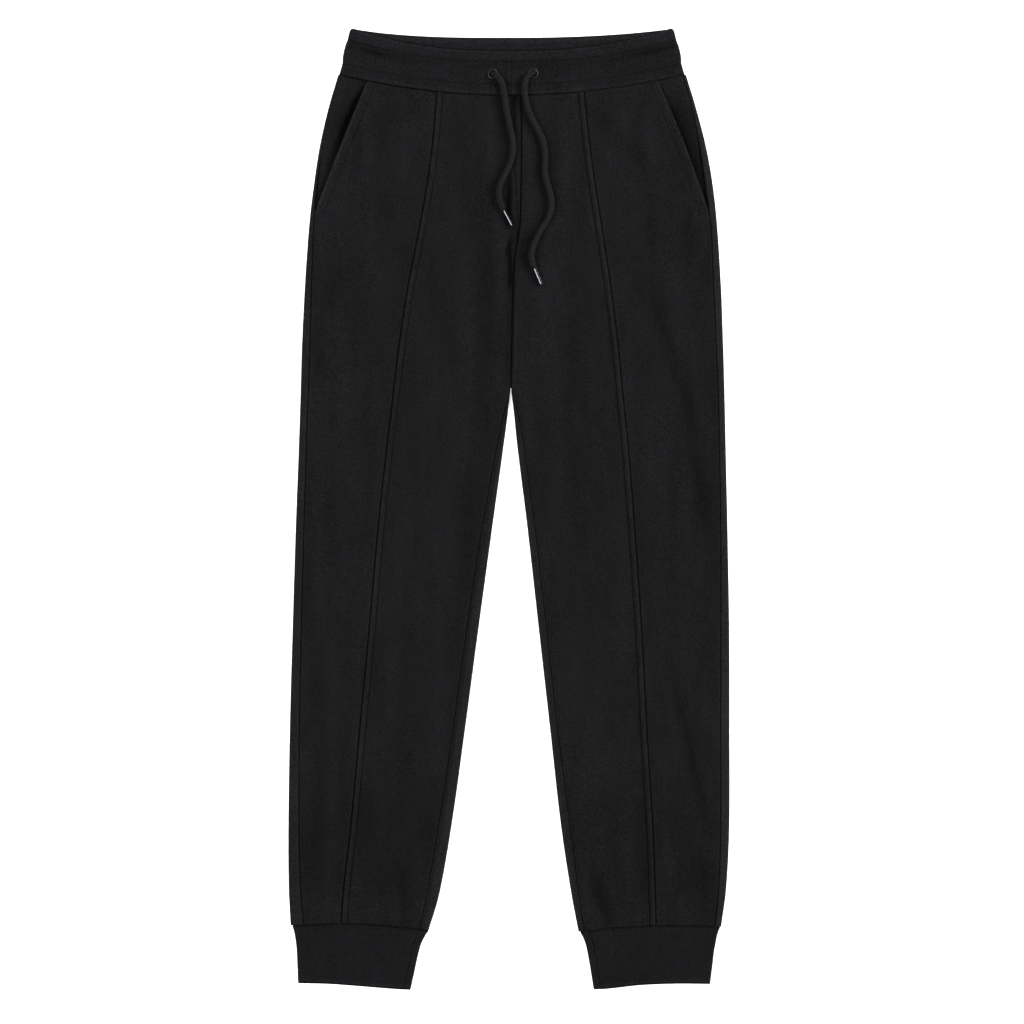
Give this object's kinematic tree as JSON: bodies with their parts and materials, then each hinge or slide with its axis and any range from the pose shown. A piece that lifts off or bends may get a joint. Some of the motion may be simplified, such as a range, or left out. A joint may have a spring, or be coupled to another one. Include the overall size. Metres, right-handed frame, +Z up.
{
  "type": "jogger sweatpants",
  "caption": "Jogger sweatpants laid flat: tapered legs with raised front seams, slant pockets, knit cuffs and an elastic waistband with a drawcord.",
  "frame": {"origin": "under the middle of the laid garment's outline, on the surface that it lies on", "axes": "+X across the garment to the viewer's right, +Y from the cuffs towards the waistband, +Z up from the surface, out of the garment's front"},
  "size_m": [0.4685, 1.0206, 0.0149],
  "materials": {
    "fleece": "matt black cotton fleece with a fine brushed knit face",
    "band_knit": "matt black cotton knit, doubled",
    "braid": "round black cotton braid",
    "gunmetal": "polished gunmetal plating"
  },
  "bodies": {
    "root": {"back_left": "fleece", "back_right": "fleece", "front_centre_left": "fleece", "front_centre_right": "fleece", "front_side_left": "fleece", "front_side_right": "fleece", "pocket_facing_left": "fleece", "pocket_facing_right": "fleece", "waistband_left": "band_knit", "waistband_right": "band_knit", "cuff_left": "band_knit", "cuff_right": "band_knit", "eyelet_left": "gunmetal", "eyelet_right": "gunmetal", "drawcord_left": "braid", "drawcord_right": "braid", "aglet_left": "gunmetal", "aglet_right": "gunmetal"}
  },
  "joints": []
}
